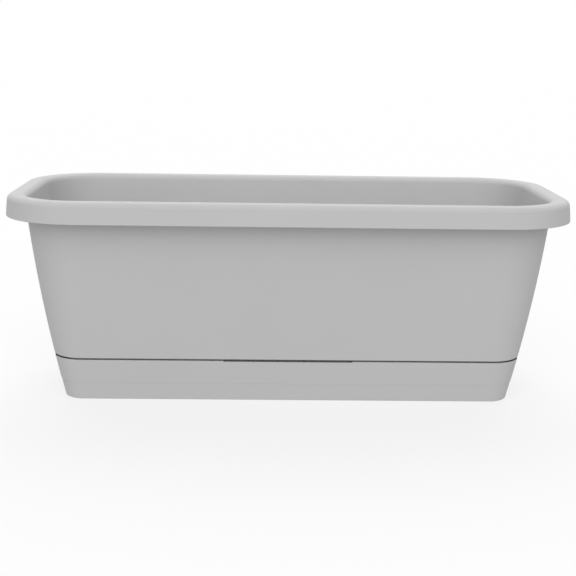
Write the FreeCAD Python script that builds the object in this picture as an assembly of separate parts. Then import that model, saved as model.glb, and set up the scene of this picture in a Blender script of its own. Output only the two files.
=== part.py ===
import FreeCAD, Part
import math
import os

# Rectangular planter: a tapered trough with a rolled rim, clipped into a drip tray whose wall carries
# on the line of the trough. Millimetres, +Z up, origin on the ground under the middle of the planter.
# +X runs along its length and -Y is its front.
#
# Both mouldings share one plan: a rectangle whose four corners turn about fixed upright axes. So a
# section is drawn once, as reach (the distance out from a corner's axis) against height, and is then
# carried round the plan.

# Overall sizes
rim_length = 457.0
rim_depth = 205.0
height = 168.6

# Outer wall in section, from the ground to the foot of the rim, bowed outwards
base_corner_radius = 16.9
wall_run_out = 27.6
wall_bow = 2.4
wall_stretch_count = 3

# Rolled rim
rim_overhang = 16.5
rim_drop = 17.0
rim_inner_edge = 5.0
rim_outer_edge = 4.6
rim_foot_edge = 0.4
skirt_lean = math.radians(5.0)

# Trough
trough_wall = 2.2
trough_floor = 2.4
trough_base_edge = 8.0
trough_floor_edge = 6.0
drain_diameter = 10.0
drain_end_inset = 28.5
drain_side_inset = 13.5
lengthwise_drain_count = 4
crosswise_drain_count = 2

# Drip tray
tray_height = 35.5
tray_wall = 2.0
tray_floor = 2.0
tray_base_edge = 1.2
tray_floor_edge = 4.0
tray_lead_in = 1.2
tray_band = 19.7
tray_band_proud = 0.2
tray_band_fade = 1.5
end_notch = 0.7
end_notch_reach = 22.0
foot_width = 7.0
foot_rise = 1.2
foot_bar_width = 8.0
foot_bar_inset = 53.5
foot_bar_count = 3

# Where the trough sits in the tray
seam_gap = 1.4
seam_edge = 0.4
side_clearance = 0.6
seat_height = 12.0
seat_rib_thickness = 2.0
seat_rib_length = 15.0
seat_rib_inset = 13.5
long_side_rib_count = 5
short_side_rib_count = 2

# Clip at the middle of each long side: a bead inside the tray, above a ledge on the trough, and a
# notch in the tray's top edge to prise it by
clip_length = 105.0
clip_notch = 0.6
clip_pocket_depth = 2.0
clip_bead_length = 70.0
clip_clearance = 0.3
clip_ledge_share = 0.5
clip_bead_share = 0.33

overrun = 5.0

# Heights and places that follow from the sizes above
ORIGIN = FreeCAD.Vector(0, 0, 0)
UP = FreeCAD.Vector(0, 0, 1)
rim_corner_radius = base_corner_radius + wall_run_out + rim_overhang
corner_x = rim_length / 2 - rim_corner_radius
corner_y = rim_depth / 2 - rim_corner_radius
rim_foot = height - rim_drop
shoulder = tray_height + seam_gap
nest_depth = tray_wall + side_clearance
nest_inside = nest_depth + trough_wall
floor_top = seat_height + trough_floor
tray_floor_top = foot_rise + tray_floor
clip_ledge = floor_top + clip_ledge_share * (shoulder - floor_top)
clip_bead_height = clip_ledge + clip_bead_share * (shoulder - clip_ledge)
corners = [
    FreeCAD.Vector(corner_x, corner_y, 0),
    FreeCAD.Vector(-corner_x, corner_y, 0),
    FreeCAD.Vector(-corner_x, -corner_y, 0),
    FreeCAD.Vector(corner_x, -corner_y, 0),
]
quarter = 360 / len(corners)
RIGHT, BACK, LEFT, FRONT = range(len(corners))


def point(reach, z):
    """A point of a section."""
    return FreeCAD.Vector(reach, 0, z)


def lines(*points):
    """Straight edges of a section, from each point to the next."""
    return [Part.makeLine(start, end) for start, end in zip(points, points[1:])]


def arc_about(centre, start, end):
    """The shorter arc from start to end about centre."""
    radius = (start - centre).Length
    middle = centre + ((start - centre) + (end - centre)).normalize() * radius
    return Part.Arc(start, middle, end).toShape()


class Wall:
    """The bowed outer wall in section, and the faces that lie a given depth inside it."""

    def __init__(self, low, high, bow):
        chord = high - low
        outward = point(chord.z, -chord.x).normalize()
        self.radius = chord.Length**2 / (8 * bow) + bow / 2
        self.centre = (low + high) / 2 - outward * (self.radius - bow)

    def at(self, depth, z):
        """The point at height z on the face that lies depth inside the outer one."""
        rise = z - self.centre.z
        return point(self.centre.x + math.sqrt((self.radius - depth) ** 2 - rise**2), z)

    def face(self, depth, start_z, end_z):
        """The edges of that face between two heights, in even stretches along the bow."""
        rise = (end_z - start_z) / wall_stretch_count
        return lines(*[self.at(depth, start_z + k * rise) for k in range(wall_stretch_count + 1)])

    def ease(self, depth, level, radius, above, outside):
        """The arc that eases that face into a flat at a level: its centre and its two ends.

        The centre lies above or below the level, and outside or inside the face. The first end is
        on the face and the second on the flat.
        """
        face = self.radius - depth
        far = face + radius if outside else face - radius
        z = level + radius if above else level - radius
        rise = z - self.centre.z
        centre = point(self.centre.x + math.sqrt(far**2 - rise**2), z)
        on_face = self.centre + (centre - self.centre) * (face / far)
        return centre, on_face, point(centre.x, level)


class Rim:
    """The rolled rim in section: a rounded top, and a skirt that leans out to its foot."""

    def __init__(self, body):
        self.lean = point(math.cos(skirt_lean), math.sin(skirt_lean))
        self.inner, lip, _ = body.ease(trough_wall, height, rim_inner_edge, False, True)
        self.to_wall = (lip - self.inner).normalize()
        self.outer = self.skirt(rim_outer_edge, height - rim_outer_edge)

    def skirt(self, depth, z):
        """The point of the skirt at a depth and a height."""
        return point(rim_corner_radius - (depth + (z - rim_foot) * self.lean.z) / self.lean.x, z)

    def lip(self, depth):
        """Where the wall's face runs into the top of the rim."""
        return self.inner + self.to_wall * (rim_inner_edge - depth)

    def head(self, depth):
        """Where the top of the rim runs into the skirt."""
        return self.outer + self.lean * (rim_outer_edge - depth)

    def over(self):
        """The edges from the inside of the wall over the rounded top to the head of the skirt."""
        top_start = point(self.inner.x, height)
        top_end = point(self.outer.x, height)
        return [
            arc_about(self.inner, self.lip(0), top_start),
            *lines(top_start, top_end),
            arc_about(self.outer, top_end, self.head(0)),
        ]

    def skirt_sides(self):
        """The edges down the outside of the skirt, under its foot and up its inside."""
        return lines(
            self.head(0),
            self.skirt(0, rim_foot + rim_foot_edge),
            self.skirt(0, rim_foot) - point(rim_foot_edge, 0),
            self.skirt(trough_wall, rim_foot),
            self.head(trough_wall),
        )

    def under(self):
        """The edges from the inside of the skirt under the top to the outside of the wall."""
        level = height - trough_wall
        return lines(
            self.head(trough_wall),
            point(self.outer.x, level),
            point(self.inner.x, level),
            self.lip(trough_wall),
        )


wall = Wall(
    point(base_corner_radius, 0),
    point(base_corner_radius + wall_run_out, rim_foot),
    wall_bow,
)
rim = Rim(wall)


def section_face(edges):
    """A closed section as a face."""
    return Part.Face(Part.Wire(edges))


def carried_round(edges):
    """Faces made by carrying the edges of a section once round the plan."""
    faces = []
    for turn, corner in enumerate(corners):
        following = corners[(turn + 1) % len(corners)]
        for edge in edges:
            start = edge.copy()
            start.rotate(ORIGIN, UP, turn * quarter)
            start.translate(corner)
            faces.append(start.revolve(corner, UP, quarter))
            end = edge.copy()
            end.rotate(ORIGIN, UP, (turn + 1) * quarter)
            end.translate(corner)
            faces.append(end.extrude(following - corner))
    return faces


def plan_face(reach, z):
    """The flat area of the plan out to a reach, its corners no tighter than a wall."""
    half_x = corner_x + reach
    half_y = corner_y + reach
    plate = Part.makePlane(2 * half_x, 2 * half_y, FreeCAD.Vector(-half_x, -half_y, z))
    block = plate.extrude(UP * overrun)
    uprights = [edge for edge in block.Edges if edge.BoundBox.ZLength > overrun / 2]
    rounded = block.makeFillet(max(reach, trough_wall), uprights)
    return min(rounded.Faces, key=lambda face: face.CenterOfMass.z)


def moulding(section, flats):
    """A solid from an open section carried round the plan and closed by flat areas."""
    shell = Part.makeShell(carried_round(section) + flats)
    shell.sewShape()
    solid = Part.makeSolid(shell)
    if solid.Volume < 0:
        solid.reverse()
    return solid.removeSplitter()


def on_side(side, section, thickness, along=0):
    """A section thickened along one side of the plan, centred at a distance along that side."""
    solid = section.extrude(FreeCAD.Vector(0, thickness, 0))
    solid.translate(FreeCAD.Vector(0, along - thickness / 2, 0))
    solid.rotate(ORIGIN, UP, side * quarter)
    solid.translate((corners[side] + corners[side - 1]) / 2)
    return solid


def spread(half, count):
    """Places of a row of pieces, evenly from one end of a length to the other about its middle."""
    return [half * (2 * k + 1 - count) / max(count - 1, 1) for k in range(count)]


def jog(inset):
    """Two heights between which the trough's inside steps in over an inset, at an even wall."""
    top = shoulder + inset - trough_wall + trough_wall * math.sqrt(2)
    return top, top - inset


def trough_section():
    """The trough's wall and rim, from its floor inside, over the rim, to its floor underneath.

    Also gives how far the flat of the floor reaches, inside and underneath.
    """
    jog_top, jog_low = jog(nest_depth)
    _, floor_face, floor_flat = wall.ease(nest_inside, floor_top, trough_floor_edge, True, False)
    _, base_face, base_flat = wall.ease(nest_depth, seat_height, trough_base_edge, True, False)
    step_low = wall.at(nest_inside, jog_low)
    step_top = wall.at(trough_wall, jog_top)
    seam_face = wall.at(0, shoulder + seam_edge)
    seam_flat = wall.at(0, shoulder) - point(seam_edge, 0)
    edges = [
        *lines(floor_flat, floor_face, step_low, step_top),
        *wall.face(trough_wall, jog_top, rim.lip(0).z),
        *rim.over(),
        *rim.skirt_sides(),
        *rim.under(),
        *wall.face(0, rim.lip(trough_wall).z, seam_face.z),
        *lines(seam_face, seam_flat, wall.at(nest_depth, shoulder), base_face, base_flat),
    ]
    return edges, floor_flat.x, base_flat.x


def clip_pads():
    """The thickening inside the trough behind each clip pocket."""
    pad_inside = nest_inside + clip_pocket_depth
    top, slope_low = jog(nest_depth + clip_pocket_depth)
    low = clip_ledge - trough_wall
    foot = low - clip_pocket_depth
    buried = nest_depth + trough_wall / 2
    edges = lines(
        wall.at(buried, foot),
        wall.at(buried, shoulder),
        wall.at(trough_wall / 2, top),
        wall.at(trough_wall, top),
        wall.at(pad_inside, slope_low),
        wall.at(pad_inside, low),
        wall.at(nest_inside, foot),
        wall.at(buried, foot),
    )
    length = clip_length + 2 * trough_wall
    return [on_side(side, section_face(edges), length) for side in (FRONT, BACK)]


def clip_pockets():
    """The space in the trough's base that each of the tray's beads enters, with the ledge below."""
    back = nest_depth + clip_pocket_depth
    edges = lines(
        wall.at(0, clip_ledge),
        wall.at(0, shoulder),
        wall.at(back, shoulder),
        wall.at(back, clip_ledge),
        wall.at(0, clip_ledge),
    )
    return [on_side(side, section_face(edges), clip_length) for side in (FRONT, BACK)]


def drains():
    """The drain holes through the trough's floor."""
    depth = trough_floor + 2 * overrun
    return [
        Part.makeCylinder(drain_diameter / 2, depth, FreeCAD.Vector(x, y, seat_height - overrun))
        for x in spread(corner_x - drain_end_inset, lengthwise_drain_count)
        for y in spread(corner_y - drain_side_inset, crosswise_drain_count)
    ]


def planter_trough():
    """The trough: wall, rolled rim, floor, clip pockets and drain holes in one moulding."""
    section, floor_reach, base_reach = trough_section()
    body = moulding(section, [plan_face(floor_reach, floor_top), plan_face(base_reach, seat_height)])
    return body.fuse(clip_pads()).cut(clip_pockets() + drains()).removeSplitter()


def tray_section():
    """The tray's wall, from its floor inside, over its top edge, to its foot underneath.

    Also gives how far the flat of the floor reaches, inside and underneath.
    """
    step = tray_height - tray_band
    _, floor_face, floor_flat = wall.ease(tray_wall, tray_floor_top, tray_floor_edge, True, False)
    base_centre, base_face, base_flat = wall.ease(tray_band_proud, 0, tray_base_edge, True, False)
    edges = lines(
        floor_flat,
        floor_face,
        wall.at(tray_wall, tray_height - tray_lead_in),
        wall.at(tray_wall, tray_height) + point(tray_lead_in, 0),
        wall.at(0, tray_height) - point(seam_edge, 0),
        wall.at(0, tray_height - seam_edge),
        wall.at(0, step),
        wall.at(tray_band_proud, step - tray_band_fade),
        base_face,
    )
    edges.append(arc_about(base_centre, base_face, base_flat))
    return edges, floor_flat.x, base_flat.x


def seat_ribs():
    """Short ribs round the tray that carry the trough's floor clear of the water."""
    depth = tray_wall / 2
    level = tray_floor_top - tray_floor / 2
    _, on_face, on_flat = wall.ease(depth, level, tray_floor_edge + depth, True, False)
    tip = wall.at(tray_wall, seat_height).x - seat_rib_length
    edges = lines(
        point(tip, level),
        on_flat,
        on_face,
        wall.at(depth, seat_height),
        point(tip, seat_height),
        point(tip, level),
    )
    rows = [
        ((FRONT, BACK), corner_x, long_side_rib_count),
        ((LEFT, RIGHT), corner_y, short_side_rib_count),
    ]
    return [
        on_side(side, section_face(edges), seat_rib_thickness, along)
        for sides, half, count in rows
        for side in sides
        for along in spread(half - seat_rib_inset, count)
    ]


def clip_beads():
    """The beads inside the tray's long walls, which just pass the trough's ledges."""
    centre = wall.at(tray_wall, clip_bead_height)
    radius = centre.x - wall.at(nest_depth, clip_ledge).x - clip_clearance
    ring = Part.makeCircle(radius, centre, FreeCAD.Vector(0, 1, 0))
    return [on_side(side, section_face([ring]), clip_bead_length) for side in (FRONT, BACK)]


def clip_notches():
    """The shallow notch in the tray's top edge at each clip."""
    low = tray_height - clip_notch
    edges = lines(
        wall.at(-overrun, low),
        wall.at(-overrun, shoulder),
        wall.at(nest_depth, shoulder),
        wall.at(nest_depth, low),
        wall.at(-overrun, low),
    )
    return [on_side(side, section_face(edges), clip_length) for side in (FRONT, BACK)]


def end_notches():
    """The shallow notch in the tray's top edge round each short end, out from a given reach."""
    low = tray_height - end_notch
    edges = lines(
        point(end_notch_reach, low),
        point(end_notch_reach, shoulder),
        wall.at(-overrun, shoulder),
        wall.at(-overrun, low),
        point(end_notch_reach, low),
    )
    return [on_side(side, section_face(edges), rim_depth) for side in (LEFT, RIGHT)]


def foot_recess(reach):
    """The hollow under the tray's floor, inside its foot and between its cross bars."""
    hollow = plan_face(reach - foot_width, 0).extrude(UP * foot_rise)
    depth = 2 * (corner_y + reach)
    bars = [
        Part.makeBox(
            foot_bar_width, depth, foot_rise, FreeCAD.Vector(x - foot_bar_width / 2, -depth / 2, 0)
        )
        for x in spread(corner_x - foot_bar_inset, foot_bar_count)
    ]
    return hollow.cut(bars)


def drip_tray():
    """The tray: wall, proud band, floor, foot, seat ribs, clip beads and notches in one moulding."""
    section, floor_reach, base_reach = tray_section()
    body = moulding(section, [plan_face(floor_reach, tray_floor_top), plan_face(base_reach, 0)])
    hollows = [foot_recess(base_reach), *clip_notches(), *end_notches()]
    return body.fuse(seat_ribs() + clip_beads()).cut(hollows).removeSplitter()


os.makedirs("parts", exist_ok=True)
for name, shape in (("planter_trough", planter_trough()), ("drip_tray", drip_tray())):
    print(name, shape.isValid(), len(shape.Solids), round(shape.Volume), len(shape.Faces))
    shape.exportStep(f"parts/{name}.step")
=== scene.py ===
import logging
import math
from collections.abc import Callable, Iterable, Sequence
from dataclasses import dataclass, fields
from enum import Enum
from itertools import pairwise

import bmesh
import bpy
from mathutils import Matrix, Vector


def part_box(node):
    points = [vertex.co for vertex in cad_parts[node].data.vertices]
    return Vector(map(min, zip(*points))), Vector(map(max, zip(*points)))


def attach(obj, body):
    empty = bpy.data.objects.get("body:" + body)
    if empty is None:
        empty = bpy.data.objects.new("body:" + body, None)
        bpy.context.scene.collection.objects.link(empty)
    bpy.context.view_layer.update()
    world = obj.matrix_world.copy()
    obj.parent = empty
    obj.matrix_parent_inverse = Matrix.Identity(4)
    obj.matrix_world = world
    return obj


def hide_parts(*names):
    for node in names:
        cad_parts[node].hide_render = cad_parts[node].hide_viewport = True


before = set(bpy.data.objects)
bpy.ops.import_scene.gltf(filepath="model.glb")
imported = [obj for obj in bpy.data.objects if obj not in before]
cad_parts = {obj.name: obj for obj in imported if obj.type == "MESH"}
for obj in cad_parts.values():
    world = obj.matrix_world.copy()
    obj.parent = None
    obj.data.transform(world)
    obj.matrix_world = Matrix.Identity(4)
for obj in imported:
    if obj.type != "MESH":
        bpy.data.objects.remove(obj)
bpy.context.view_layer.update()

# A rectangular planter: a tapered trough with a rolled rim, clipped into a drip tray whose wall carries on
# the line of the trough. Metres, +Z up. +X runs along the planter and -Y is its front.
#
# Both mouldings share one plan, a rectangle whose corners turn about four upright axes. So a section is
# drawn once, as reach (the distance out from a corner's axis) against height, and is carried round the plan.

Colour = tuple[float, float, float]
Inputs = dict[str | int, object]

RUB = "rub"
FINE_STEP = math.radians(9)
COARSE_STEP = math.radians(40)
SHARP_ANGLE = math.radians(38)
QUARTER_TURN = math.radians(90)
UP = Vector((0, 0, 1))
log = logging.getLogger("planter")


class Side(Enum):
    """A side of the planter, by its quarter turn from the right-hand end."""

    RIGHT = 0
    BACK = 1
    LEFT = 2
    FRONT = 3


LONG_SIDES = (Side.FRONT, Side.BACK)
SHORT_SIDES = (Side.LEFT, Side.RIGHT)


class Join(Enum):
    """How a shape is worked into a moulding."""

    ADDED = "UNION"
    CUT = "DIFFERENCE"


@dataclass(frozen=True)
class Bend:
    """A corner of a section.

    Attributes:
        reach: Distance out from the upright axis that a corner of the plan turns about.
        z: Height.
        radius: Radius that rounds the corner, or zero for a plain point.
        rub: How much hands rub the corner, from 0 to 1.
    """

    reach: float
    z: float
    radius: float = 0.0
    rub: float = 0.0

    @property
    def place(self) -> Vector:
        """Reach and height as a vector."""
        return Vector((self.reach, self.z))

    def eased(self, before: "Bend", after: "Bend", step: float) -> "list[Bend]":
        """Rounds the corner between its neighbours.

        Args:
            before: The corner that the section comes from.
            after: The corner that it goes on to.
            step: Widest angle between two points of the rounding.

        Returns:
            Points along the rounding arc, or the corner itself if it is a plain point.
        """
        if not self.radius:
            return [self]
        back = (before.place - self.place).normalized()
        onward = (after.place - self.place).normalized()
        turn = math.pi - back.angle(onward)
        centre = self.place + (back + onward).normalized() * self.radius / math.cos(turn / 2)
        start = self.place + back * self.radius * math.tan(turn / 2) - centre
        signed = math.copysign(turn, -back.cross(onward))
        count = max(2, math.ceil(turn / step))
        points = []
        for number in range(count + 1):
            share = number / count
            spot = centre + Matrix.Rotation(signed * share, 2) @ start
            points.append(Bend(spot.x, spot.y, rub=self.rub * math.sin(math.pi * share)))
        return points


def eased(bends: Sequence[Bend], step: float = FINE_STEP) -> list[Bend]:
    """Rounds the inner corners of a section.

    Args:
        bends: The section's corners, in order.
        step: Widest angle between two points of a rounding.

    Returns:
        The points of the rounded section.
    """
    points = [bends[0]]
    for before, bend, after in zip(bends, bends[1:], bends[2:]):
        points.extend(bend.eased(before, after, step))
    return [*points, bends[-1]]


@dataclass(frozen=True)
class BowedWall:
    """The outer wall in section: an arc that bows out from the ground to the foot of the rim."""

    foot_reach: float
    run_out: float
    rise: float
    bow: float

    @property
    def radius(self) -> float:
        """Radius of the arc."""
        return (self.run_out**2 + self.rise**2) / (8 * self.bow) + self.bow / 2

    @property
    def centre(self) -> Vector:
        """Centre of the arc, as reach and height."""
        middle = Vector((self.foot_reach + self.run_out / 2, self.rise / 2))
        outward = Vector((self.rise, -self.run_out)).normalized()
        return middle - outward * (self.radius - self.bow)

    def at(self, depth: float, z: float, radius: float = 0.0, rub: float = 0.0) -> Bend:
        """Finds a point of the face that lies a depth inside the outer one.

        Args:
            depth: Depth inside the outer face.
            z: Height of the point.
            radius: Radius that rounds the section there.
            rub: How much the point is rubbed.

        Returns:
            The point.
        """
        centre = self.centre
        across = math.sqrt((self.radius - depth) ** 2 - (z - centre.y) ** 2)
        return Bend(centre.x + across, z, radius, rub)

    def run(self, depth: float, start_z: float, end_z: float, count: int = 12) -> list[Bend]:
        """Follows that face between two heights.

        Args:
            depth: Depth inside the outer face.
            start_z: Height of the first point.
            end_z: Height of the last point.
            count: Number of stretches.

        Returns:
            Evenly spaced points along the bow.
        """
        rise = (end_z - start_z) / count
        return [self.at(depth, start_z + number * rise) for number in range(count + 1)]


@dataclass(frozen=True)
class Plan:
    """The plan that both mouldings share: a rectangle whose corners turn about four upright axes."""

    half_x: float
    half_y: float
    corner_steps: int = 24
    side_pitch: float = 0.03

    def stations(self) -> list[tuple[Vector, Vector]]:
        """Walks once round the plan.

        Returns:
            For each station, the foot of the axis that it belongs to and its outward direction.
        """
        signs = ((1, 1), (-1, 1), (-1, -1), (1, -1))
        axes = [Vector((self.half_x * x, self.half_y * y, 0)) for x, y in signs]
        found = []
        for turn, axis in enumerate(axes):
            for step in range(self.corner_steps + 1):
                angle = QUARTER_TURN * (turn + step / self.corner_steps)
                found.append((axis, Vector((math.cos(angle), math.sin(angle), 0))))
            outward = found[-1][1]
            following = axes[(turn + 1) % len(axes)]
            count = round((following - axis).length / self.side_pitch)
            found.extend((axis.lerp(following, step / count), outward) for step in range(1, count))
        return found

    def along(self, side: Side) -> float:
        """Half the straight length of a side."""
        return self.half_y if side in SHORT_SIDES else self.half_x

    def frame_of(self, side: Side, along: float = 0.0) -> Matrix:
        """Places something on a side.

        Args:
            side: The side.
            along: Distance along it from its middle.

        Returns:
            A frame there, whose x is reach and whose y runs along the side.
        """
        out = self.half_x if side in SHORT_SIDES else self.half_y
        return Matrix.Rotation(QUARTER_TURN * side.value, 4, "Z") @ Matrix.Translation((out, along, 0))


@dataclass(frozen=True)
class Seam:
    """The narrow space that the seam between the trough and the tray opens into, where painted shade is
    laid.

    Attributes:
        axis: Where a corner's upright axis stands, and a height above everything.
        reach: Reach of the outer wall at the top of the seam.
        slope: How fast the outer wall leans out as it rises.
        edge: Depth inside the outer wall at which the space starts.
        depth: Depth at which it ends.
        clip_half: Half the length of a clip.
        clip_depth: How much deeper the space is at a clip.
        low: Height of its bottom.
        high: Height of its top.
    """

    axis: tuple[float, float, float]
    reach: float
    slope: float
    edge: float
    depth: float
    clip_half: float
    clip_depth: float
    low: float
    high: float

    def sockets(self) -> Inputs:
        """The space's sizes, by the names of the sockets of the painted seam shade."""
        return {field.name.replace("_", " ").title(): getattr(self, field.name) for field in fields(self)}


@dataclass(frozen=True)
class Form:
    """Sizes that the trough and the tray share."""

    rim_corner: Vector
    seat: float
    tray_height: float
    base_corner_radius: float = 0.0169
    wall_run_out: float = 0.0276
    wall_bow: float = 0.0024
    rim_overhang: float = 0.0165
    rim_drop: float = 0.017
    trough_wall: float = 0.0022
    trough_floor: float = 0.0024
    tray_wall: float = 0.002
    side_clearance: float = 0.0006
    seam_gap: float = 0.0014
    seam_edge: float = 0.0004
    clip_length: float = 0.105
    clip_pocket_depth: float = 0.002
    clip_ledge_share: float = 0.5

    @classmethod
    def from_frame(cls) -> "Form":
        """Reads the overall sizes from the frame's two nodes."""
        trough_low, trough_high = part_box("planter_trough")
        return cls(trough_high, trough_low.z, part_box("drip_tray")[1].z)

    @property
    def height(self) -> float:
        """Height of the rim's top."""
        return self.rim_corner.z

    @property
    def rim_reach(self) -> float:
        """Reach of the foot of the rim's skirt."""
        return self.base_corner_radius + self.wall_run_out + self.rim_overhang

    @property
    def rim_foot(self) -> float:
        """Height of the foot of the rim's skirt."""
        return self.height - self.rim_drop

    @property
    def plan(self) -> Plan:
        """The plan inside the rim's overall length and depth."""
        return Plan(self.rim_corner.x - self.rim_reach, self.rim_corner.y - self.rim_reach)

    @property
    def wall(self) -> BowedWall:
        """The outer wall."""
        return BowedWall(self.base_corner_radius, self.wall_run_out, self.rim_foot, self.wall_bow)

    @property
    def shoulder(self) -> float:
        """Height of the trough's outer edge above the seam."""
        return self.tray_height + self.seam_gap

    @property
    def nest_depth(self) -> float:
        """Depth inside the outer face at which the trough's base enters the tray."""
        return self.tray_wall + self.side_clearance

    @property
    def nest_inside(self) -> float:
        """Depth of the inside of the trough's base."""
        return self.nest_depth + self.trough_wall

    @property
    def floor_top(self) -> float:
        """Height of the trough's floor inside."""
        return self.seat + self.trough_floor

    @property
    def seam(self) -> Seam:
        """The space that the seam opens into."""
        high = self.shoulder + self.seam_edge
        low = self.tray_height - self.seam_gap
        reach = self.wall.at(0, high).reach
        return Seam(
            axis=(self.plan.half_x, self.plan.half_y, self.height),
            reach=reach,
            slope=(reach - self.wall.at(0, low).reach) / (high - low),
            edge=self.seam_edge,
            depth=self.nest_depth + self.trough_wall / 2,
            clip_half=self.clip_length / 2,
            clip_depth=self.clip_pocket_depth,
            low=low,
            high=high,
        )

    @property
    def clip_ledge(self) -> float:
        """Height of the ledges that the tray's beads snap over."""
        return self.floor_top + self.clip_ledge_share * (self.shoulder - self.floor_top)

    def jog(self, inset: float) -> tuple[float, float]:
        """Finds where the trough's inside steps in.

        Args:
            inset: Depth of the step.

        Returns:
            The heights of the step's top and bottom that keep the wall even.
        """
        top = self.shoulder + inset + self.trough_wall * (math.sqrt(2) - 1)
        return top, top - inset


def spread(half: float, count: int) -> list[float]:
    """Places of a row, evenly from one end of a length to the other about its middle."""
    return [half * (2 * number + 1 - count) / (count - 1) for number in range(count)]


def bridge(shape: bmesh.types.BMesh, rings: Sequence[Sequence[bmesh.types.BMVert]]) -> None:
    """Joins rings of points into a closed skin.

    Args:
        shape: The shape that the points belong to.
        rings: The rings in order, with as many points each.
    """
    for ring, following in pairwise(rings):
        for number in range(len(ring)):
            shape.faces.new((ring[number - 1], ring[number], following[number], following[number - 1]))
    shape.faces.new(rings[0])
    shape.faces.new(rings[-1])


def as_object(name: str, shape: bmesh.types.BMesh) -> bpy.types.Object:
    """Turns a shape into an object of the scene.

    Args:
        name: Name of the object and its mesh.
        shape: The shape, which is used up.

    Returns:
        The object, at the frame's origin.
    """
    bmesh.ops.recalc_face_normals(shape, faces=shape.faces)
    mesh = bpy.data.meshes.new(name)
    shape.to_mesh(mesh)
    shape.free()
    piece = bpy.data.objects.new(name, mesh)
    bpy.context.scene.collection.objects.link(piece)
    return piece


def carried_round(name: str, section: Sequence[Bend], plan: Plan) -> bpy.types.Object:
    """Carries an open section round the plan and closes its two ends with flats.

    Args:
        name: Name of the object.
        section: Points of the section.
        plan: The plan to follow.

    Returns:
        A closed shape.
    """
    shape = bmesh.new()
    rub = shape.verts.layers.float.new(RUB)
    stations = plan.stations()
    rings = []
    for point in section:
        spots = [axis + outward * point.reach + UP * point.z for axis, outward in stations]
        ring = [shape.verts.new(spot) for spot in spots]
        for vert in ring:
            vert[rub] = point.rub
        rings.append(ring)
    bridge(shape, rings)
    return as_object(name, shape)


def bar(
    name: str, outline: Sequence[Bend], length: float, place: Matrix, ease: float = 0.0
) -> bpy.types.Object:
    """Makes a bar of an even section.

    Args:
        name: Name of the object.
        outline: Corners of the section.
        length: Length of the bar, along y and about its middle.
        place: Where the bar goes.
        ease: Radius that rounds its edges, or zero.

    Returns:
        A closed shape.
    """
    shape = bmesh.new()
    ends = (-length / 2, length / 2)
    bridge(shape, [[shape.verts.new((bend.reach, y, bend.z)) for bend in outline] for y in ends])
    if ease:
        bmesh.ops.bevel(shape, geom=shape.edges[:], offset=ease, segments=3, profile=0.5, affect="EDGES")
    bmesh.ops.transform(shape, matrix=place, verts=shape.verts)
    return as_object(name, shape)


def turned(name: str, profile: Sequence[Bend], place: Matrix, count: int = 40) -> bpy.types.Object:
    """Makes a turned shape about its own upright axis.

    Args:
        name: Name of the object.
        profile: Points of the profile from the bottom up, with the radius as reach.
        place: Where the shape goes.
        count: Number of facets round it.

    Returns:
        A closed shape.
    """
    shape = bmesh.new()
    angles = [math.tau * number / count for number in range(count)]
    rings = []
    for point in profile:
        spots = [(point.reach * math.cos(angle), point.reach * math.sin(angle), point.z) for angle in angles]
        rings.append([shape.verts.new(spot) for spot in spots])
    bridge(shape, rings)
    bmesh.ops.transform(shape, matrix=place, verts=shape.verts)
    return as_object(name, shape)


def work_in(piece: bpy.types.Object, join: Join, shapes: Iterable[bpy.types.Object]) -> None:
    """Works shapes into a piece's mesh and uses them up.

    Args:
        piece: The piece to change.
        join: Whether the shapes are added or cut away.
        shapes: The shapes.
    """
    shapes = list(shapes)
    for shape in shapes:
        modifier = piece.modifiers.new(shape.name, "BOOLEAN")
        modifier.object = shape
        modifier.operation = join.value
        modifier.solver = "EXACT"
    graph = bpy.context.evaluated_depsgraph_get()
    worked = bpy.data.meshes.new_from_object(piece.evaluated_get(graph))
    name = piece.data.name
    used = [piece.data, *(shape.data for shape in shapes)]
    piece.modifiers.clear()
    piece.data = worked
    for shape in shapes:
        bpy.data.objects.remove(shape)
    for mesh in used:
        bpy.data.meshes.remove(mesh)
    worked.name = name


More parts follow.
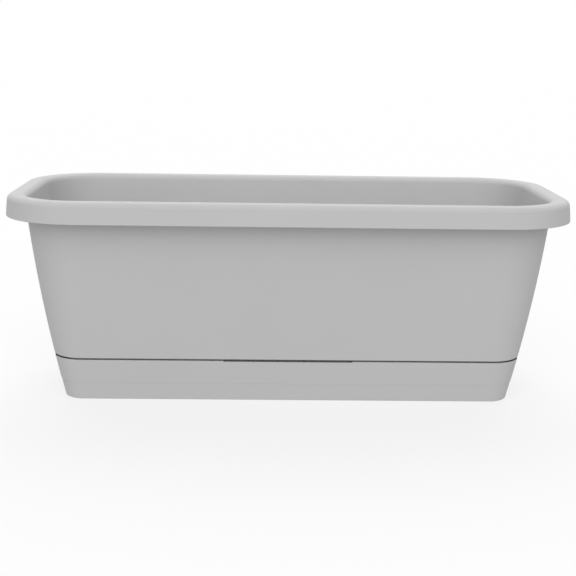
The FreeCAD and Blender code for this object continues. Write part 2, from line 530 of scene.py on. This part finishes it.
class NodeBoard:
    """Adds nodes to a node tree and links them as they are added."""

    def __init__(self, tree: bpy.types.NodeTree) -> None:
        """Starts with the tree's own nodes cleared away."""
        self.tree = tree
        tree.nodes.clear()

    def add(self, kind: str, inputs: Inputs | None = None, **settings: object) -> bpy.types.Node:
        """Adds one node.

        Args:
            kind: The node's type name.
            inputs: A value, or another node's output, for each input by name or number.
            **settings: Values for the node's own properties.

        Returns:
            The node.
        """
        node = self.tree.nodes.new(kind)
        for name, value in settings.items():
            setattr(node, name, value)
        for name, value in (inputs or {}).items():
            if isinstance(value, bpy.types.NodeSocket):
                self.tree.links.new(value, node.inputs[name])
            else:
                node.inputs[name].default_value = value
        return node

    def math(self, operation: str, *values: object, clamp: bool = False) -> bpy.types.NodeSocket:
        """Adds a sum and gives its result."""
        inputs = dict(enumerate(values))
        return self.add("ShaderNodeMath", inputs, operation=operation, use_clamp=clamp).outputs[0]

    def mix(self, factor: object, first: object, second: object) -> bpy.types.NodeSocket:
        """Mixes two colours and gives the result."""
        return self.add("ShaderNodeMix", {0: factor, 6: first, 7: second}, data_type="RGBA").outputs[2]

    def vector(self, operation: str, *values: object) -> bpy.types.NodeSocket:
        """Adds a sum of vectors and gives its result."""
        return self.add("ShaderNodeVectorMath", dict(enumerate(values)), operation=operation).outputs[0]

    def ramp(self, value: object, low: object, high: object) -> bpy.types.NodeSocket:
        """Raises a value smoothly from 0 to 1 between two limits and gives the result."""
        inputs = {"Value": value, "From Min": low, "From Max": high}
        return self.add("ShaderNodeMapRange", inputs, interpolation_type="SMOOTHSTEP").outputs[0]

    def noise(self, place: object, pitch: object, detail: float) -> bpy.types.NodeSocket:
        """Adds a noise of a pitch in metres and gives its value."""
        inputs = {"Vector": place, "Scale": self.math("DIVIDE", 1.0, pitch), "Detail": detail}
        return self.add("ShaderNodeTexNoise", inputs).outputs[0]

    def cells(self, place: object, pitch: object, feature: str) -> bpy.types.NodeSocket:
        """Adds a field of cells of a pitch in metres and gives the distance from their points."""
        inputs = {"Vector": place, "Scale": self.math("DIVIDE", 1.0, pitch)}
        return self.add("ShaderNodeTexVoronoi", inputs, feature=feature).outputs["Distance"]

    def effect(self, kind: "Effect", inputs: Inputs) -> bpy.types.bpy_prop_collection:
        """Places a shared effect and gives its outputs."""
        return self.add("ShaderNodeGroup", inputs, node_tree=kind.tree()).outputs


class Effect(Enum):
    """Surface effects that the finishes share, each a node group."""

    GRAIN = "mould_grain"
    MOTTLE = "melt_mottle"
    RUBBED = "edge_rub"
    DUST = "settled_dust"
    # Painted shade: a dark colour laid inside the seam between the trough and the tray, where shade falls.
    FILM = "seam_film"

    def tree(self) -> bpy.types.NodeTree:
        """Gives the effect's node group, made the first time that it is asked for."""
        return bpy.data.node_groups.get(self.value) or EFFECT_MAKERS[self](self.value)


def new_effect(
    name: str, inputs: dict[str, str], outputs: dict[str, str]
) -> tuple[NodeBoard, bpy.types.bpy_prop_collection]:
    """Starts a node group.

    Args:
        name: Name of the group.
        inputs: Kind of each input socket, by name.
        outputs: Kind of each output socket, by name.

    Returns:
        A board on the group, and what is given to the group.
    """
    tree = bpy.data.node_groups.new(name, "ShaderNodeTree")
    for way, sockets in (("INPUT", inputs), ("OUTPUT", outputs)):
        for socket, kind in sockets.items():
            tree.interface.new_socket(socket, in_out=way, socket_type=f"NodeSocket{kind}")
    board = NodeBoard(tree)
    return board, board.add("NodeGroupInput").outputs


def make_grain(name: str) -> bpy.types.NodeTree:
    """Makes the fine matte grain that a spark-eroded mould leaves.

    Args:
        name: Name of the group.

    Returns:
        A group that puts out the grain's height.
    """
    pit_share = 0.6
    board, given = new_effect(name, {"Pitch": "Float"}, {"Height": "Float"})
    place = board.add("ShaderNodeTexCoord").outputs["Object"]
    pits = board.cells(place, given["Pitch"], "SMOOTH_F1")
    fine = board.noise(place, given["Pitch"], 3.0)
    board.add("NodeGroupOutput", {"Height": board.math("MULTIPLY_ADD", pits, pit_share, fine)})
    return board.tree


def make_mottle(name: str) -> bpy.types.NodeTree:
    """Makes the faint clouds and rare specks in a moulded colour.

    Args:
        name: Name of the group.

    Returns:
        A group that varies a colour, and puts out the clouds.
    """
    speck_core, speck_rim = 0.004, 0.014
    speck_shade = 0.86
    sockets = {"Colour": "Color", "Depth": "Float", "Cloud Pitch": "Float", "Speck Pitch": "Float"}
    board, given = new_effect(name, sockets, {"Colour": "Color", "Clouds": "Float"})
    place = board.add("ShaderNodeTexCoord").outputs["Object"]
    clouds = board.math("SUBTRACT", board.noise(place, given["Cloud Pitch"], 6.0), 0.5)
    level = board.math("MULTIPLY_ADD", clouds, given["Depth"], 1.0)
    clear = board.ramp(board.cells(place, given["Speck Pitch"], "F1"), speck_core, speck_rim)
    speckled = board.math("MULTIPLY_ADD", clear, 1 - speck_shade, speck_shade)
    shade = board.math("MULTIPLY", level, speckled)
    tinted = board.vector("MULTIPLY", given["Colour"], shade)
    board.add("NodeGroupOutput", {"Colour": tinted, "Clouds": clouds})
    return board.tree


def make_rubbed(name: str) -> bpy.types.NodeTree:
    """Makes the slight polish along edges that hands rub.

    Args:
        name: Name of the group.

    Returns:
        A group that lightens a colour along rubbed edges, and puts out where.
    """
    missed, rubbed_through = 0.3, 0.7
    sockets = {"Colour": "Color", "Rubbed": "Color", "Amount": "Float", "Pitch": "Float"}
    board, given = new_effect(name, sockets, {"Colour": "Color", "Mask": "Float"})
    place = board.add("ShaderNodeTexCoord").outputs["Object"]
    edge = board.add("ShaderNodeAttribute", attribute_name=RUB).outputs["Fac"]
    broken = board.ramp(board.noise(place, given["Pitch"], 4.0), missed, rubbed_through)
    mask = board.math("MULTIPLY", board.math("MULTIPLY", edge, broken), given["Amount"], clamp=True)
    board.add("NodeGroupOutput", {"Colour": board.mix(mask, given["Colour"], given["Rubbed"]), "Mask": mask})
    return board.tree


def make_dust(name: str) -> bpy.types.NodeTree:
    """Makes the faint dust that settles on faces that look up.

    Args:
        name: Name of the group.

    Returns:
        A group that dusts a colour, and puts out where.
    """
    steep, level = 0.35, 0.95
    bare, drifted = 0.3, 0.75
    sockets = {"Colour": "Color", "Dust": "Color", "Amount": "Float", "Pitch": "Float"}
    board, given = new_effect(name, sockets, {"Colour": "Color", "Mask": "Float"})
    coords = board.add("ShaderNodeTexCoord").outputs
    up = board.add("ShaderNodeSeparateXYZ", {0: coords["Normal"]}).outputs["Z"]
    lying = board.ramp(up, steep, level)
    drifts = board.ramp(board.noise(coords["Object"], given["Pitch"], 5.0), bare, drifted)
    mask = board.math("MULTIPLY", board.math("MULTIPLY", lying, drifts), given["Amount"], clamp=True)
    board.add("NodeGroupOutput", {"Colour": board.mix(mask, given["Colour"], given["Dust"]), "Mask": mask})
    return board.tree


def make_seam_shade(name: str) -> bpy.types.NodeTree:
    """Makes painted shade in the seam: a dark colour laid where the trough sits in the tray, in place of the
    shade that falls there.

    The painted shade lies between two depths inside the outer wall, which leans out by a slope as it rises,
    and deeper where the clips are. It is stronger round the short ends and stops at a ragged line below.

    Args:
        name: Name of the group.

    Returns:
        A group that darkens a colour inside the seam with painted shade, and puts out where.
    """
    sizes = ("Reach", "Slope", "Edge", "Depth", "Clip Half", "Clip Depth", "Low", "High")
    sockets = {"Colour": "Color", "Film": "Color", "Axis": "Vector"}
    sockets |= dict.fromkeys(("Amount", "End Amount", "Pitch", *sizes), "Float")
    board, given = new_effect(name, sockets, {"Colour": "Color", "Mask": "Float"})
    place = board.add("ShaderNodeTexCoord").outputs["Object"]
    folded = board.vector("ABSOLUTE", place)
    past_axis = board.vector("MAXIMUM", board.vector("SUBTRACT", folded, given["Axis"]), (0, 0, 0))
    reach = board.add("ShaderNodeVectorMath", {0: past_axis}, operation="LENGTH").outputs["Value"]
    x, _, z = board.add("ShaderNodeSeparateXYZ", {0: folded}).outputs
    below = board.math("SUBTRACT", given["High"], z)
    face = board.math("MULTIPLY_ADD", below, board.math("MULTIPLY", given["Slope"], -1.0), given["Reach"])
    depth = board.math("SUBTRACT", face, reach)
    at_clip = board.math("LESS_THAN", x, given["Clip Half"])
    limit = board.math("MULTIPLY_ADD", at_clip, given["Clip Depth"], given["Depth"])
    inside = board.ramp(depth, 0.0, given["Edge"])
    in_depth = board.math("MULTIPLY", inside, board.math("LESS_THAN", depth, limit))
    ragged = board.math("MULTIPLY_ADD", board.noise(place, given["Pitch"], 3.0), given["Depth"], z)
    above = board.math("GREATER_THAN", ragged, given["Low"])
    in_height = board.math("MULTIPLY", above, board.math("LESS_THAN", z, given["High"]))
    past_end = board.add("ShaderNodeSeparateXYZ", {0: past_axis}).outputs["X"]
    at_end = board.ramp(past_end, 0.0, given["Reach"])
    amount = board.math("MULTIPLY_ADD", at_end, given["End Amount"], given["Amount"])
    mask = board.math("MULTIPLY", board.math("MULTIPLY", in_depth, in_height), amount, clamp=True)
    board.add("NodeGroupOutput", {"Colour": board.mix(mask, given["Colour"], given["Film"]), "Mask": mask})
    return board.tree


EFFECT_MAKERS: dict[Effect, Callable[[str], bpy.types.NodeTree]] = {
    Effect.GRAIN: make_grain,
    Effect.MOTTLE: make_mottle,
    Effect.RUBBED: make_rubbed,
    Effect.DUST: make_dust,
    Effect.FILM: make_seam_shade,
}


def opaque(colour: Colour) -> tuple[float, float, float, float]:
    """A colour with full alpha, as a colour socket takes it."""
    return (*colour, 1.0)


@dataclass(frozen=True)
class GrainedPlastic:
    """Polypropylene from a mould with a fine matte grain."""

    name: str
    colour: Colour
    seam: Seam
    rubbed_colour: Colour = (0.55, 0.55, 0.55)
    dust_colour: Colour = (0.50, 0.49, 0.47)
    roughness: float = 0.7
    cloud_roughness: float = 0.12
    rub_polish: float = 0.16
    mottle_depth: float = 0.05
    cloud_pitch: float = 0.08
    speck_pitch: float = 0.036
    rub_amount: float = 0.4
    rub_pitch: float = 0.02
    dust_amount: float = 0.1
    dust_pitch: float = 0.03
    # Painted shade in the seam: its dark colour, strength, extra strength round the short ends, and the
    # pitch of its ragged edge.
    film_colour: Colour = (0.05, 0.047, 0.043)
    film_amount: float = 0.48
    film_end_amount: float = 0.5
    film_pitch: float = 0.012
    grain_pitch: float = 0.0005
    grain_depth: float = 0.000012
    refraction: float = 1.49

    def material(self) -> bpy.types.Material:
        """Makes the material.

        Returns:
            A material with the mottle, rub, dust, painted shade in the seam and grain of this finish.
        """
        made = bpy.data.materials.new(self.name)
        made.use_nodes = True
        board = NodeBoard(made.node_tree)
        mottle = board.effect(
            Effect.MOTTLE,
            {
                "Colour": opaque(self.colour),
                "Depth": self.mottle_depth,
                "Cloud Pitch": self.cloud_pitch,
                "Speck Pitch": self.speck_pitch,
            },
        )
        rubbed = board.effect(
            Effect.RUBBED,
            {
                "Colour": mottle["Colour"],
                "Rubbed": opaque(self.rubbed_colour),
                "Amount": self.rub_amount,
                "Pitch": self.rub_pitch,
            },
        )
        dust = board.effect(
            Effect.DUST,
            {
                "Colour": rubbed["Colour"],
                "Dust": opaque(self.dust_colour),
                "Amount": self.dust_amount,
                "Pitch": self.dust_pitch,
            },
        )
        # Painted shade: darkens the colour inside the seam, where the trough sits in the tray.
        seam_shade = board.effect(
            Effect.FILM,
            {
                "Colour": dust["Colour"],
                "Film": opaque(self.film_colour),
                "Amount": self.film_amount,
                "End Amount": self.film_end_amount,
                "Pitch": self.film_pitch,
                **self.seam.sockets(),
            },
        )
        grain = board.effect(Effect.GRAIN, {"Pitch": self.grain_pitch})
        cloudy = board.math("MULTIPLY_ADD", mottle["Clouds"], self.cloud_roughness, self.roughness)
        polished = board.math("MULTIPLY_ADD", rubbed["Mask"], -self.rub_polish, cloudy)
        # Roughness rises with the dust and with the painted seam shade.
        dulled = board.math("ADD", dust["Mask"], seam_shade["Mask"])
        bump = board.add("ShaderNodeBump", {"Distance": self.grain_depth, "Height": grain["Height"]})
        shader = board.add(
            "ShaderNodeBsdfPrincipled",
            {
                "Base Color": seam_shade["Colour"],
                "Roughness": board.math("ADD", polished, dulled, clamp=True),
                "IOR": self.refraction,
                "Normal": bump.outputs[0],
            },
        )
        board.add("ShaderNodeOutputMaterial", {"Surface": shader.outputs[0]})
        return made


@dataclass
class Moulding:
    """A moulded piece, which stands for a node of the frame and rides on its body."""

    form: Form
    name: str
    node: str
    body: str
    slot: str

    def build(self) -> bpy.types.Object:
        """Builds the piece's mesh and gives its object."""
        raise NotImplementedError

    def dress(self, piece: bpy.types.Object, finish: GrainedPlastic) -> None:
        """Shades a piece, gives it its finish and seats it in the frame.

        Args:
            piece: The piece's object.
            finish: What it is made of.
        """
        piece.data.shade_smooth()
        piece.data.set_sharp_from_angle(angle=SHARP_ANGLE)
        piece.modifiers.new("even_shading", "WEIGHTED_NORMAL").keep_sharp = True
        piece.data.materials.clear()
        piece.data.materials.append(finish.material())
        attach(piece, self.body)
        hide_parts(self.node)


@dataclass
class Trough(Moulding):
    """The trough: wall, rolled rim, floor with drain holes, and the pockets that the tray clips into."""

    name: str = "trough"
    node: str = "planter_trough"
    body: str = "trough"
    slot: str = "trough_plastic"
    rim_inner_edge: float = 0.005
    rim_outer_edge: float = 0.0046
    rim_foot_edge: float = 0.0005
    skirt_lean: float = math.radians(5.0)
    step_edge: float = 0.002
    floor_edge: float = 0.006
    base_edge: float = 0.008
    drain_diameter: float = 0.01
    drain_edge: float = 0.0005
    drain_end_inset: float = 0.0285
    drain_side_inset: float = 0.0135
    lengthwise_drain_count: int = 4
    crosswise_drain_count: int = 2
    pad_edge: float = 0.0006

    def build(self) -> bpy.types.Object:
        """Builds the trough.

        Returns:
            The trough's object.
        """
        piece = carried_round(self.name, self.section(), self.form.plan)
        work_in(piece, Join.ADDED, self.clip_pads())
        work_in(piece, Join.CUT, [*self.clip_pockets(), *self.drains()])
        return piece

    def skirt(self, depth: float, z: float, radius: float, rub: float = 0.0) -> Bend:
        """Finds a corner of the rim's skirt, which leans out to its foot.

        Args:
            depth: Depth inside the skirt's outer face.
            z: Height.
            radius: Radius that rounds the corner.
            rub: How much the corner is rubbed.

        Returns:
            The corner.
        """
        lean = depth + (z - self.form.rim_foot) * math.sin(self.skirt_lean)
        return Bend(self.form.rim_reach - lean / math.cos(self.skirt_lean), z, radius, rub)

    def section(self) -> list[Bend]:
        """Draws the section from the floor inside, over the rim, to the floor underneath.

        Returns:
            The section's points.
        """
        form, wall = self.form, self.form.wall
        thick = form.trough_wall
        under = form.height - thick
        step_top, step_low = form.jog(form.nest_depth)
        floor_corner = wall.at(form.nest_inside, form.floor_top, self.floor_edge)
        base_corner = wall.at(form.nest_depth, form.seat, self.base_edge)
        return eased(
            [
                Bend(floor_corner.reach - 2 * self.floor_edge, form.floor_top),
                floor_corner,
                *wall.run(
                    form.nest_inside, form.floor_top + 2 * self.floor_edge, step_low - self.step_edge, 3
                ),
                wall.at(form.nest_inside, step_low, self.step_edge),
                wall.at(thick, step_top, self.step_edge),
                *wall.run(thick, step_top + self.step_edge, form.height - 2 * self.rim_inner_edge),
                wall.at(thick, form.height, self.rim_inner_edge, rub=0.7),
                self.skirt(0, form.height, self.rim_outer_edge, rub=1.0),
                self.skirt(0, form.rim_foot, self.rim_foot_edge, rub=0.8),
                self.skirt(thick, form.rim_foot, self.rim_foot_edge),
                self.skirt(thick, under, self.rim_outer_edge - thick),
                wall.at(0, under, self.rim_inner_edge - thick),
                *wall.run(0, form.height - 2 * self.rim_inner_edge, form.shoulder + 4 * form.seam_edge),
                wall.at(0, form.shoulder, form.seam_edge, rub=0.5),
                wall.at(form.nest_depth, form.shoulder, form.seam_edge),
                base_corner,
                Bend(base_corner.reach - 2 * self.base_edge, form.seat),
            ]
        )

    def clip_pads(self) -> list[bpy.types.Object]:
        """Makes the thickening inside the trough behind each clip pocket.

        Returns:
            A pad for the front and one for the back.
        """
        form, wall = self.form, self.form.wall
        half = form.trough_wall / 2
        inside = form.nest_inside + form.clip_pocket_depth
        top, slope_low = form.jog(form.nest_depth + form.clip_pocket_depth)
        low = form.clip_ledge - form.trough_wall
        foot = low - form.clip_pocket_depth
        outline = [
            wall.at(form.nest_depth + half, foot - half),
            wall.at(form.nest_depth + half, form.shoulder),
            wall.at(half, top),
            wall.at(half, top + half),
            wall.at(inside, slope_low),
            wall.at(inside, low),
        ]
        length = form.clip_length + 2 * form.trough_wall
        return [
            bar(f"clip_pad_{side.name.lower()}", outline, length, form.plan.frame_of(side), self.pad_edge)
            for side in LONG_SIDES
        ]

    def clip_pockets(self) -> list[bpy.types.Object]:
        """Makes the space that each of the tray's beads enters, above its ledge.

        Returns:
            A cutter for the front and one for the back.
        """
        form, wall = self.form, self.form.wall
        back = form.nest_depth + form.clip_pocket_depth
        front = form.nest_depth - form.side_clearance
        outline = [
            wall.at(front, form.clip_ledge),
            wall.at(front, form.shoulder),
            wall.at(back, form.shoulder),
            wall.at(back, form.clip_ledge),
        ]
        return [
            bar(f"clip_pocket_{side.name.lower()}", outline, form.clip_length, form.plan.frame_of(side))
            for side in LONG_SIDES
        ]

    def drains(self) -> list[bpy.types.Object]:
        """Makes the drain holes, eased at both faces of the floor.

        Returns:
            A cutter for each hole.
        """
        form, plan = self.form, self.form.plan
        radius = self.drain_diameter / 2
        flare = radius + 2 * self.drain_edge
        profile = [
            Bend(flare, form.seat - self.drain_edge),
            Bend(radius, form.seat + self.drain_edge),
            Bend(radius, form.floor_top - self.drain_edge),
            Bend(flare, form.floor_top + self.drain_edge),
        ]
        columns = spread(plan.half_x - self.drain_end_inset, self.lengthwise_drain_count)
        rows = spread(plan.half_y - self.drain_side_inset, self.crosswise_drain_count)
        return [
            turned(f"drain_{column}_{row}", profile, Matrix.Translation((x, y, 0)))
            for column, x in enumerate(columns)
            for row, y in enumerate(rows)
        ]


@dataclass
class Tray(Moulding):
    """The drip tray: wall with its proud band, floor, foot with cross bars, seat ribs and clip beads."""

    name: str = "tray"
    node: str = "drip_tray"
    body: str = "tray"
    slot: str = "tray_plastic"
    floor: float = 0.002
    floor_edge: float = 0.004
    base_edge: float = 0.0012
    lead_in: float = 0.0012
    band: float = 0.0197
    band_proud: float = 0.0002
    band_fade: float = 0.0015
    band_edge: float = 0.003
    clip_notch: float = 0.0006
    end_notch: float = 0.0007
    end_notch_reach: float = 0.022
    foot_inset: float = 0.0079
    foot_rise: float = 0.0012
    foot_edge: float = 0.0004
    foot_bar_width: float = 0.008
    foot_bar_inset: float = 0.0535
    foot_bar_count: int = 3
    rib_thickness: float = 0.002
    rib_length: float = 0.015
    rib_inset: float = 0.0135
    rib_edge: float = 0.0004
    long_side_rib_count: int = 5
    short_side_rib_count: int = 2
    bead_length: float = 0.07
    bead_share: float = 0.33
    bead_clearance: float = 0.0003

    @property
    def floor_top(self) -> float:
        """Height of the tray's floor inside."""
        return self.foot_rise + self.floor

    @property
    def foot_reach(self) -> float:
        """Reach of the inside of the foot."""
        return self.form.wall.at(self.band_proud, 0).reach - self.foot_inset

    def build(self) -> bpy.types.Object:
        """Builds the tray.

        Returns:
            The tray's object.
        """
        piece = carried_round(self.name, self.section(), self.form.plan)
        work_in(piece, Join.ADDED, [*self.seat_ribs(), *self.clip_beads(), *self.foot_bars()])
        work_in(piece, Join.CUT, [*self.clip_notches(), *self.end_notches()])
        return piece

    def section(self) -> list[Bend]:
        """Draws the section from the floor inside, over the top edge, to the hollow inside the foot.

        Returns:
            The section's points.
        """
        form, wall = self.form, self.form.wall
        edge = form.seam_edge
        step = form.tray_height - self.band
        lead_low = form.tray_height - self.lead_in
        lead_top = wall.at(form.tray_wall, form.tray_height).reach + self.lead_in
        floor_corner = wall.at(form.tray_wall, self.floor_top, self.floor_edge)
        return eased(
            [
                Bend(floor_corner.reach - 2 * self.floor_edge, self.floor_top),
                floor_corner,
                *wall.run(form.tray_wall, self.floor_top + 2 * self.floor_edge, lead_low - 4 * edge, 4),
                wall.at(form.tray_wall, lead_low, edge),
                Bend(lead_top, form.tray_height, edge / 2),
                wall.at(0, form.tray_height, edge, rub=0.5),
                *wall.run(0, form.tray_height - 4 * edge, step + self.band_fade, 3),
                wall.at(0, step, self.band_edge),
                wall.at(self.band_proud, step - self.band_fade, self.band_edge),
                wall.at(self.band_proud, 0, self.base_edge, rub=0.6),
                Bend(self.foot_reach, 0, self.foot_edge, rub=0.8),
                Bend(self.foot_reach, self.foot_rise, self.foot_edge),
                Bend(self.foot_reach - 4 * self.foot_edge, self.foot_rise),
            ]
        )

    def seat_ribs(self) -> list[bpy.types.Object]:
        """Makes the short ribs that carry the trough's floor clear of the water.

        Returns:
            The ribs of all four sides.
        """
        form, wall = self.form, self.form.wall
        depth = form.tray_wall / 2
        level = self.floor_top - self.floor / 2
        tip = wall.at(form.tray_wall, form.seat).reach - self.rib_length
        outline = eased(
            [
                Bend(tip, level),
                wall.at(depth, level, self.floor_edge + depth),
                wall.at(depth, form.seat),
                Bend(tip, form.seat),
            ],
            COARSE_STEP,
        )
        ribs = []
        for side in Side:
            long_side = side in LONG_SIDES
            count = self.long_side_rib_count if long_side else self.short_side_rib_count
            for number, along in enumerate(spread(form.plan.along(side) - self.rib_inset, count)):
                name = f"seat_rib_{side.name.lower()}_{number}"
                place = form.plan.frame_of(side, along)
                ribs.append(bar(name, outline, self.rib_thickness, place, self.rib_edge))
        return ribs

    def clip_beads(self) -> list[bpy.types.Object]:
        """Makes the round-ended beads that snap over the trough's ledges.

        Returns:
            A bead for the front and one for the back.
        """
        form, wall = self.form, self.form.wall
        height = form.clip_ledge + self.bead_share * (form.shoulder - form.clip_ledge)
        centre = wall.at(form.tray_wall, height)
        radius = centre.reach - wall.at(form.nest_depth, form.clip_ledge).reach - self.bead_clearance
        half = self.bead_length / 2
        profile = eased(
            [
                Bend(radius / 2, -half),
                Bend(radius, -half, radius / 2),
                Bend(radius, half, radius / 2),
                Bend(radius / 2, half),
            ]
        )
        lay = Matrix.Rotation(QUARTER_TURN, 4, "X")
        beads = []
        for side in LONG_SIDES:
            place = form.plan.frame_of(side) @ Matrix.Translation((centre.reach, 0, height)) @ lay
            beads.append(turned(f"clip_bead_{side.name.lower()}", profile, place))
        return beads

    def clip_notches(self) -> list[bpy.types.Object]:
        """Makes the shallow notch in the top edge at each clip.

        Returns:
            A cutter for the front and one for the back.
        """
        form, wall = self.form, self.form.wall
        low = form.tray_height - self.clip_notch
        outline = [
            wall.at(-form.tray_wall, low),
            wall.at(-form.tray_wall, form.shoulder),
            wall.at(form.nest_depth, form.shoulder),
            wall.at(form.nest_depth, low),
        ]
        return [
            bar(f"clip_notch_{side.name.lower()}", outline, form.clip_length, form.plan.frame_of(side))
            for side in LONG_SIDES
        ]

    def end_notches(self) -> list[bpy.types.Object]:
        """Makes the shallow notch in the top edge round each short end.

        Returns:
            A cutter for the left and one for the right.
        """
        form, wall = self.form, self.form.wall
        low = form.tray_height - self.end_notch
        outline = [
            Bend(self.end_notch_reach, low),
            Bend(self.end_notch_reach, form.shoulder),
            wall.at(-form.tray_wall, form.shoulder),
            wall.at(-form.tray_wall, low),
        ]
        length = 2 * form.rim_corner.y
        return [
            bar(f"end_notch_{side.name.lower()}", outline, length, form.plan.frame_of(side))
            for side in SHORT_SIDES
        ]

    def foot_bars(self) -> list[bpy.types.Object]:
        """Makes the bars that cross the hollow inside the foot.

        Returns:
            The bars.
        """
        plan = self.form.plan
        half = self.foot_bar_width / 2
        top = self.foot_rise + self.floor / 2
        length = 2 * (plan.half_y + self.foot_reach + self.foot_rise)
        outline = [Bend(-half, 0), Bend(half, 0), Bend(half, top), Bend(-half, top)]
        return [
            bar(f"foot_bar_{number}", outline, length, Matrix.Translation((x, 0, 0)))
            for number, x in enumerate(spread(plan.half_x - self.foot_bar_inset, self.foot_bar_count))
        ]


def seen_ray(board: NodeBoard) -> bpy.types.NodeSocket:
    """Tells the rays that show the background: those from the camera, off gloss and through glass."""
    path = board.add("ShaderNodeLightPath").outputs
    direct = board.math("MAXIMUM", path["Is Camera Ray"], path["Is Glossy Ray"])
    return board.math("MAXIMUM", direct, path["Is Transmission Ray"])


@dataclass(frozen=True)
class SoftLight:
    """A broad soft light far away, brightest in its middle.

    Attributes:
        towards: Direction from the planter to its middle.
        focus: How quickly it fades away from there.
        strength: Strength in its middle.
    """

    towards: tuple[float, float, float]
    focus: float
    strength: float


@dataclass
class Studio:
    """A white sweep of floor under plain soft light from all round and above."""

    floor_half: float = 6.0
    floor_drop: float = 0.0001
    floor_glow: float = 0.6
    shown_colour: Colour = (0.86, 0.86, 0.86)
    shadow_share: float = 0.3
    front: SoftLight = SoftLight((-0.1, -1, 0), 2.0, 1.24)
    back: SoftLight = SoftLight((0, 1, 0), 2.0, 0.95)
    high_front: SoftLight = SoftLight((0, -1, 1), 6.0, 1.7)
    high_back: SoftLight = SoftLight((0, 1, 1), 6.0, 2.6)
    left: SoftLight = SoftLight((-1, 0, 0.6), 3.0, 0.25)
    right: SoftLight = SoftLight((1, 0, 0.6), 3.0, 0.25)

    def build(self) -> bpy.types.Object:
        """Builds the floor and lights the scene.

        Returns:
            The floor.
        """
        bpy.context.scene.view_settings.view_transform = "Standard"
        self.light_world()
        return self.lay_floor()

    def lay_floor(self) -> bpy.types.Object:
        """Lays the floor just under the planter.

        Returns:
            The floor.
        """
        shape = bmesh.new()
        half, z = self.floor_half, -self.floor_drop
        corners = ((-half, -half), (half, -half), (half, half), (-half, half))
        shape.faces.new([shape.verts.new((x, y, z)) for x, y in corners])
        floor = as_object("floor", shape)
        floor.data.materials.append(self.floor_material())
        return floor

    def floor_material(self) -> bpy.types.Material:
        """Makes a floor that shows white with a faint shadow, and throws back an even light.

        Returns:
            The material.
        """
        made = bpy.data.materials.new("studio_floor")
        made.use_nodes = True
        board = NodeBoard(made.node_tree)
        bounce = board.add("ShaderNodeEmission", {"Strength": self.floor_glow}).outputs[0]
        lit = board.add("ShaderNodeBsdfDiffuse", {"Color": opaque(self.shown_colour)}).outputs[0]
        white = board.add("ShaderNodeEmission", {"Strength": 1.0}).outputs[0]
        shown = board.add("ShaderNodeMixShader", {0: self.shadow_share, 1: white, 2: lit}).outputs[0]
        both = board.add("ShaderNodeMixShader", {0: seen_ray(board), 1: bounce, 2: shown}).outputs[0]
        board.add("ShaderNodeOutputMaterial", {"Surface": both})
        return made

    def light_world(self) -> None:
        """Lights the scene with the soft lights, and shows white behind it."""
        world = bpy.data.worlds.new("studio_light")
        world.use_nodes = True
        board = NodeBoard(world.node_tree)
        way = board.add("ShaderNodeTexCoord").outputs["Generated"]
        level: object = 0.0
        for light in (self.front, self.back, self.high_front, self.high_back, self.left, self.right):
            inputs = {0: way, 1: Vector(light.towards).normalized()}
            nearness = board.add("ShaderNodeVectorMath", inputs, operation="DOT_PRODUCT").outputs["Value"]
            faded = board.math("POWER", board.math("MAXIMUM", nearness, 0.0), light.focus)
            level = board.math("MULTIPLY_ADD", faded, light.strength, level)
        sky = board.add("ShaderNodeBackground", {"Color": opaque((1, 1, 1)), "Strength": level})
        shown = board.add("ShaderNodeBackground", {"Color": opaque((1, 1, 1)), "Strength": 1.0})
        inputs = {0: seen_ray(board), 1: sky.outputs[0], 2: shown.outputs[0]}
        board.add("ShaderNodeOutputWorld", {"Surface": board.add("ShaderNodeMixShader", inputs).outputs[0]})
        bpy.context.scene.world = world


@dataclass(frozen=True)
class PhotoCamera:
    """The camera, from the front and a little above."""

    place: tuple[float, float, float] = (-0.02526, -1.00963, 0.29841)
    heading: float = math.radians(-1.4805)
    tilt: float = math.radians(12.0659)
    roll: float = math.radians(0.876)
    lens_mm: float = 75.0
    sensor_mm: float = 36.0

    def build(self) -> bpy.types.Object:
        """Sets the camera up and makes it the scene's own.

        Returns:
            The camera.
        """
        data = bpy.data.cameras.new("camera")
        data.lens = self.lens_mm
        data.sensor_width = self.sensor_mm
        camera = bpy.data.objects.new("camera", data)
        turn = Matrix.Rotation(self.heading, 4, "Z")
        pitch = Matrix.Rotation(QUARTER_TURN - self.tilt, 4, "X")
        roll = Matrix.Rotation(self.roll, 4, "Z")
        camera.matrix_world = Matrix.Translation(self.place) @ turn @ pitch @ roll
        bpy.context.scene.collection.objects.link(camera)
        bpy.context.scene.camera = camera
        return camera


def main() -> None:
    """Builds the planter and its studio, and reports each piece."""
    logging.basicConfig(level=logging.INFO, format="%(name)s: %(message)s")
    form = Form.from_frame()
    dressed = (
        (Trough(form), GrainedPlastic("trough_grained_plastic", (0.52, 0.52, 0.52), form.seam)),
        (Tray(form), GrainedPlastic("tray_grained_plastic", (0.52, 0.52, 0.52), form.seam)),
    )
    for moulding, finish in dressed:
        piece = moulding.build()
        moulding.dress(piece, finish)
        log.info("%s has %d faces and rides on %s", piece.name, len(piece.data.polygons), moulding.body)
    floor = Studio().build()
    log.info("%s is laid", floor.name)
    camera = PhotoCamera().build()
    log.info("%s is set", camera.name)


if __name__ == "__main__":
    main()
